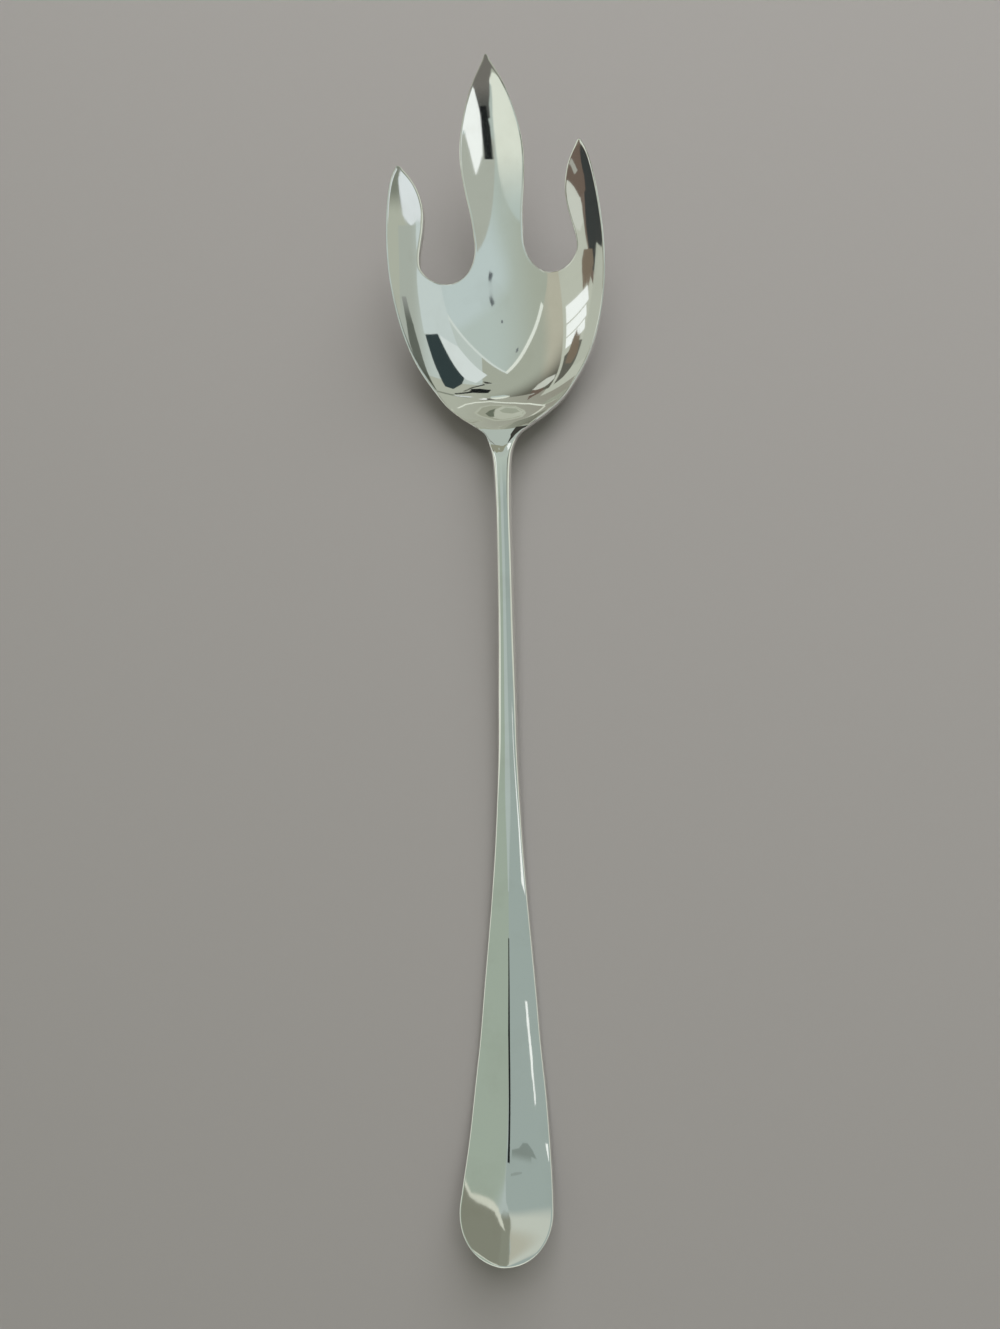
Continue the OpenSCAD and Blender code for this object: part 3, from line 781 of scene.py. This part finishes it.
overhead("flag_far_right", 1.5, [(1.55, -0.28), (1.47, -0.15), (1.37, 0), (1.26, 0.27), (1.17, 0.6),
                                 (1.08, 1.08), (1.02, 1.45), (1.15, 1.5), (1.21, 1.2), (1.33, 0.8),
                                 (1.44, 0.5), (1.54, 0.27), (1.58, 0), (1.65, -0.18), (1.7, -0.27)],
         (0.28, 0.3, 0.28), ((0.12, 0.135, 0.115), NORTH, (-0.3, 0)),
         ((0.07, 0.08, 0.062), NORTH, (0.4, 1.2)))
for k, (south, north, far) in enumerate(((-0.03, 0.17, -2.9), (0.19, 0.37, -2.7), (0.39, 0.57, -2.6))):
    overhead("panel_left_%d" % k, 1.5, [(far, south), (far, north), (-1.63, north), (-1.63, south)], WHITE)
overhead("flag_left", 1.5, [(-1.63, 0.72), (-2.1, 0.6), (-2.5, 0.75), (-2.3, 1.1), (-1.9, 1.6),
                            (-1.63, 1.75)], (0.12, 0.12, 0.1))
PIN_GREY = (0.15, 0.17, 0.18)
overhead("pin_low", 1.53, [(-0.49, 0.17), (-0.45, 0.19), (-0.44, 0.24), (-0.48, 0.22)], PIN_GREY)
overhead("pin_middle", 1.53, [(-0.26, -0.15), (-0.23, -0.15), (-0.23, -0.125), (-0.26, -0.125)], PIN_GREY)

# Upright beyond the tines, for the bowl's heel, and low on three sides, for the edges
beyond("rail_high", 3, [(0.72, 1.57), (0.63, 2.15), (0.37, 2.52), (-0.15, 2.69), (-0.5, 2.48),
                        (-0.99, 2.13), (-1.39, 1.62), (-1.65, 0.81), (-1.59, 0.75), (-1.34, 1.5),
                        (-0.96, 2.02), (-0.5, 2.36), (-0.15, 2.56), (0.33, 2.4), (0.57, 2.08),
                        (0.66, 1.57)], (0.75, 0.8, 0.71))
beyond("rail_low", 3, [(-1.62, 0.68), (-1.39, 0.47), (-1.13, 0.32), (-0.91, 0.28), (-0.7, 0.2),
                       (-0.51, 0.22), (-0.51, 0.29), (-0.7, 0.27), (-0.91, 0.36), (-1.13, 0.4),
                       (-1.37, 0.56), (-1.57, 0.76)], (0.6, 0.63, 0.54))
beyond("ring", 2.98, [(0.19, 1.3), (0.12, 1.96), (-0.17, 2.19), (-0.49, 2.11), (-0.93, 1.73),
                      (-1.09, 1.09), (-1.09, 0.76), (-0.97, 0.53), (-0.71, 0.54), (-0.38, 0.63),
                      (-0.14, 0.89), (0.04, 1.05)], (0.45, 0.48, 0.4))
beyond("ring_inside", 2.96, [(0.11, 1.29), (0.05, 1.87), (-0.21, 2.08), (-0.49, 2), (-0.88, 1.67),
                             (-1.02, 1.11), (-1.02, 0.82), (-0.91, 0.62), (-0.68, 0.62), (-0.39, 0.7),
                             (-0.18, 0.93), (-0.02, 1.07)], (0.34, 0.36, 0.29))
beyond("disc", 2.94, [(-0.32, 0.87), (-0.34, 1.61), (-0.55, 1.9), (-0.89, 1.58), (-1.02, 0.98),
                      (-0.96, 0.69), (-0.74, 0.64), (-0.49, 0.7)], (0.47, 0.5, 0.42))
beyond("disc_inside", 2.92, [(-0.45, 1.47), (-0.63, 1.71), (-0.89, 1.42), (-0.95, 1.03), (-0.77, 1),
                             (-0.53, 1.24)], (0.34, 0.37, 0.3))
beyond("disc_shade", 2.92, [(-0.1, 1.24), (-0.18, 1.53), (-0.34, 1.71), (-0.3, 1.32), (-0.34, 0.95),
                            (-0.22, 0.97)], (0.14, 0.16, 0.12))
beyond("panel_low_end", -0.8, [(-0.8, 0.05), (0.8, 0.05), (0.8, 0.55), (-0.8, 0.55)], CREAM)
beside("panel_low_left", -1.7, [(-1.5, 0.1), (1.5, 0.1), (1.5, 0.7), (-1.5, 0.7)], CREAM)
beside("panel_low_right", 1.95, [(-1.5, 0.2), (1.5, 0.2), (1.5, 1.15), (-1.5, 1.15)], CREAM)

# At the left side, for the right tine and the bowl's right wall: two flags far off, and close cards
beside("flag_side_soft", -1.5, [(-0.07, 0.7), (-0.06, 0.56), (0.02, 0.36), (0.16, 0.3), (0.24, 0.5),
                                (0.2, 0.62), (0.12, 0.66), (0.06, 0.68), (0.012, 0.7), (-0.03, 0.69)],
       (0.165, 0.13, 0.105))
beside("flag_side", -1.48, [(-0.07, 0.66), (-0.06, 0.58), (-0.02, 0.5), (0.02, 0.4), (0.08, 0.36),
                            (0.14, 0.36), (0.2, 0.42), (0.22, 0.5), (0.2, 0.57), (0.16, 0.62),
                            (0.13, 0.63), (0.1, 0.6), (0.06, 0.6), (0.02, 0.62), (-0.03, 0.65)],
       (0.042, 0.047, 0.046))
beside("veil_side", -20, [(60, 25), (82.5, 25), (84, 30.5), (60, 31)], (0.45, 0.48, 0.41), MM)
beside("bar_side", -19.9, [(81.6, 34.6), (82.4, 31.8), (80.2, 30.9), (79, 31.4), (78.2, 32), (77.9, 32.8),
                           (77.2, 33.9), (77.8, 34.6), (79.2, 35)], (0.19, 0.155, 0.115), MM)
beside("tine_white", -20.1, [(98, 44.5), (97, 40), (95, 38), (92, 36.5), (88, 35.6), (85.5, 36.5),
                             (87.5, 40), (92, 43)], (0.57, 0.6, 0.54), MM)
beside("tine_brown", -20, [(109, 39.5), (106, 41.6), (103, 42.8), (100, 43.4), (98.2, 44), (97.2, 41.7),
                           (96.2, 40), (95.1, 38.8), (93.8, 37.5), (96, 35.8), (99.5, 36.8), (101.4, 37.8),
                           (103.4, 38.6), (106, 39.2)], (0.15, 0.115, 0.092), MM)
beside("tine_streak", -19.9, [(104.6, 42.9), (102.6, 42.9), (99.4, 40.3), (100.6, 39.4)],
       (0.37, 0.38, 0.34), MM)

# Over the tines, in millimetres, on a slope that rises from the bowl's heel, which sees it edge on
SLOPE_FOOT = (57, 8)
SLOPE_RISE = 0.9


def over_tines(name, corners, colour, *fades, lift=0, foot=SLOPE_FOOT, rise=SLOPE_RISE):
    """A card on that slope, with its corners given across and along the fork."""
    places = [(x, y, foot[1] + rise * (y - foot[0]) + lift) for x, y in corners]
    card(name, [tuple(MM * v for v in place) for place in places], colour, *fades)


over_tines("tip_brown", [(-22, 165), (-20, 143), (-15, 146), (-12, 138), (-10.3, 130), (-8.4, 122),
                         (-7.6, 116), (-5.6, 116), (-5.2, 128), (-4.6, 139), (-2, 134), (2, 150), (0, 165)],
           (0.07, 0.075, 0.07), (BROWN, NORTH, (0.117, 0.136)))
over_tines("tip_black", [(-7.4, 121.5), (-5.7, 121.5), (-5, 103.7), (-6, 103.5), (-7, 113)],
           BLACK, lift=-0.3)
over_tines("tip_white", [(-4.8, 137), (-4.2, 138.5), (-1, 130), (-1, 112), (-2.3, 112.5), (-3.3, 106),
                         (-4, 100), (-4.9, 105), (-5.4, 112), (-5.6, 120)], WHITE)
over_tines("tip_cream", [(-15, 144), (-12.8, 140), (-11.8, 134), (-10.2, 126), (-8.5, 118), (-7.6, 112),
                         (-6.8, 106), (-6.2, 100), (-5.9, 95), (-5.6, 88), (-8, 88), (-14, 104), (-17, 118),
                         (-17.5, 134), (-16.6, 141)], (0.45, 0.53, 0.5), (CREAM, NORTH, (0.09, 0.107)))
over_tines("tine_oval", [(-1.7, 90), (-1.4, 94.5), (1, 99.3), (4.5, 103.5), (7, 103.5), (6, 100), (3, 95.9),
                         (0.4, 92.2)], (0.72, 0.78, 0.8))
over_tines("tine_olive", [(-1, 90), (3, 95), (6, 99.7), (6, 103.5), (3, 106), (3, 114), (40, 114), (40, 98),
                          (16, 93), (3, 89.5)],
           (0.42, 0.45, 0.38), ((0.2, 0.22, 0.18), NORTH, (0.092, 0.098)), lift=0.4)
over_tines("tip_olive", [(-15, 104), (-11.2, 96.4), (-7.85, 89.5), (-4.25, 82.3), (-3.2, 79.5), (-1.5, 84),
                         (1, 92), (3.5, 100), (5, 108), (-13, 108)],
           (0.4, 0.43, 0.38), foot=(62, 3.5), rise=2)


def close_over(name, height, corners, colour, *fades):
    """A level card close over the fork, with its corners and height in millimetres."""
    card(name, [(x * MM, y * MM, height * MM) for x, y in corners], colour, *fades)


# Over the stem and the handle: one long canopy, a veil at the neck, and the dark places on the heel
HANDLE_GREEN = (0.34, 0.405, 0.343)
HANDLE_GREY = (0.33, 0.395, 0.375)
HANDLE_BLUE = (0.42, 0.49, 0.47)
close_over("canopy", 102, [(-400, -170), (-400, 45), (300, 45), (300, -170)], CREAM,
           (HANDLE_GREEN, EAST, (-0.16, -0.13)), (HANDLE_BLUE, EAST, (-0.036, -0.027)),
           (HANDLE_GREY, EAST, (-0.016, -0.006)), ((0.6, 0.63, 0.55), EAST, (0.12, 0.16)))
close_over("neck_veil", 40, [(-40, 30), (-40, 54), (25, 54), (25, 30)], HANDLE_GREEN,
           (HANDLE_BLUE, EAST, (-0.012, -0.009)), (HANDLE_GREY, EAST, (-0.005, -0.002)),
           ((0.44, 0.51, 0.46), NORTH, (0.034, 0.046)))
close_over("pin_high", 100, [(-9.2, 58.2), (-11.8, 57.6), (-10, 56.3), (-7.8, 56.3)], (0.1, 0.115, 0.125))
close_over("heel_black", 200, [(-11, 189), (12, 182), (29, 186), (34, 203), (70, 232), (70, 240), (27, 209),
                               (-6, 208)], BLACK)
close_over("heel_line", 199, [(3, 158), (28, 176), (48, 206), (46, 208), (26, 180), (2, 163)], DARK)
close_over("heel_corner", 199, [(-12, 156), (0, 160), (6, 148), (-2, 150)], DARK)

# Upright over the neck, for the crease there
beyond("neck_screen", 49.5, [(-12, 7), (12, 7), (12, 42), (-12, 42)], (0.43, 0.49, 0.45), MM)
beyond("neck_fold_right", 49.4, [(6, 7.2), (3, 6.8), (1.1, 8), (0.4, 10), (-0.3, 12.6), (0.2, 12.8),
                                 (1.2, 10.6), (2.2, 8.7), (4, 7.9), (6, 8.2)], DARK, MM)
beyond("neck_fold_left", 49.4, [(-5.2, 7.5), (-4.2, 9.6), (-3, 11.8), (-2.2, 14), (-2.6, 14.6),
                                (-3.5, 12.4), (-4.7, 10.4), (-5.8, 8.5)], BROWN, MM)
beyond("neck_fold_olive", 49.4, [(-12, 16), (-2.8, 14), (-2, 13.4), (-0.4, 13), (-0.2, 14.4), (-1.2, 16),
                                 (-2.4, 22), (-12, 30)], (0.27, 0.28, 0.21), MM)
beyond("neck_fold_white", 49.4, [(0.6, 13.6), (3, 15.6), (12, 29), (12, 36), (3, 22), (0.6, 17.5)],
       WHITE, MM)

# Over the handle's end: the black line along the crest, the olive and cream halves, and small marks
close_over("end_rim", 101, [(-90, -260), (70, -260), (70, -150), (-90, -150)], CREAM)
close_over("crest_black", 18, [(-3.2, -110.8), (-0.6, -110.8), (-0.6, -69), (-6.3, -69), (-6.3, -90)],
           BLACK)
close_over("crest_veil", 19, [(-30, -82), (4, -82), (4, -58), (-30, -58)], HANDLE_GREEN,
           (HANDLE_GREY, EAST, (-0.006, 0)))
close_over("end_olive", 99, [(-53, -90), (-56, -86), (-58, -78), (-17, -78), (-17, -84.5), (-18.5, -87),
                             (-21.5, -86.6), (-25, -88.3), (-27.6, -90.3), (-30.6, -91.5), (-35, -91),
                             (-40, -89.5), (-46, -88.5)], (0.22, 0.23, 0.183))
close_over("end_line", 98.5, [(-58, -94), (-52, -89.5), (-46, -88.3), (-40, -89.3), (-35, -90.8),
                              (-30.6, -91.6), (-27.6, -90.3), (-25, -88.3), (-21.5, -87.2), (-18.6, -86.3),
                              (-22.2, -89.4), (-26.2, -92.1), (-29.5, -93.5), (-33, -93.6), (-36.6, -92.8),
                              (-40.7, -91.5), (-46, -89.6), (-52, -90.8)], (0.62, 0.65, 0.56))
close_over("end_cream", 99, [(-15, -76), (9, -76), (11, -86), (4, -96), (-6, -108), (-32, -108),
                             (-29, -100.5), (-14, -94.6), (-13.3, -89.6), (-14.1, -86.8), (-15.1, -84.4)],
           HANDLE_GREY, ((0.52, 0.56, 0.5), SLANT, (-0.0842, -0.0806)),
           ((0.44, 0.445, 0.37), SLANT, (-0.0785, -0.0735)))
close_over("end_strip", 98.8, [(-26.2, -92.1), (-22.7, -94.4), (-14, -93.4), (-13.1, -90.3), (-14, -86.9),
                               (-15.1, -84.4), (-16, -80), (-21, -80), (-23, -84), (-22.2, -89.4)],
           (0.38, 0.44, 0.415), ((0.235, 0.25, 0.2), NORTH, (-0.0944, -0.0905)))
close_over("end_mark", 20, [(0.2, -109.1), (2, -108.8), (3, -108.2), (4.2, -108.2), (5.3, -108.7),
                            (6.4, -109.5), (5, -109.4), (5, -110.8), (0, -111.2)],
           HANDLE_GREY, ((0.22, 0.265, 0.245), NORTH, (-0.1103, -0.1092)))
close_over("end_fold", 20, [(-0.3, -111.9), (1.1, -111.5), (2.5, -111.3), (2.5, -111.5), (1.1, -111.9),
                            (-0.3, -112.2)], (0.27, 0.32, 0.3))
close_over("streak", 30, [(6.3, -84.5), (7.1, -84.5), (7.3, -97), (7.2, -105), (6.8, -105.3), (6.5, -97)],
           WHITE)
close_over("streak_low", 20, [(8.9, -107.9), (9.6, -107.9), (9.95, -109.2), (9.6, -109.4)], WHITE)
close_over("edge_white", 99, [(30, -66), (36, -70), (62, -20), (52, -16)], WHITE)

key = bpy.data.lights.new("key", "AREA")
key.energy = 11.3
key.size = 1
key_lamp = bpy.data.objects.new("key", key)
key_lamp.location = (0.3, 0.75, 0.7)
key_lamp.rotation_euler = (-Vector(key_lamp.location)).to_track_quat("-Z", "Y").to_euler()
key_lamp.visible_glossy = False
bpy.context.scene.collection.objects.link(key_lamp)

# Camera: above the fork and a little to its right, as in the photograph. Its place and lens were
# fitted to the fork's outline.
camera = bpy.data.cameras.new("camera")
camera.lens = 26.116
camera.sensor_fit = "AUTO"
camera.sensor_width = 36
camera.clip_start = 0.01
camera_object = bpy.data.objects.new("camera", camera)
camera_object.location = (0.04593, -0.03491, 0.21596)
camera_object.rotation_euler = [math.radians(a) for a in (7.681, 12.667, -0.101)]
bpy.context.scene.collection.objects.link(camera_object)
bpy.context.scene.camera = camera_object
bpy.context.scene.view_settings.view_transform = "Standard"
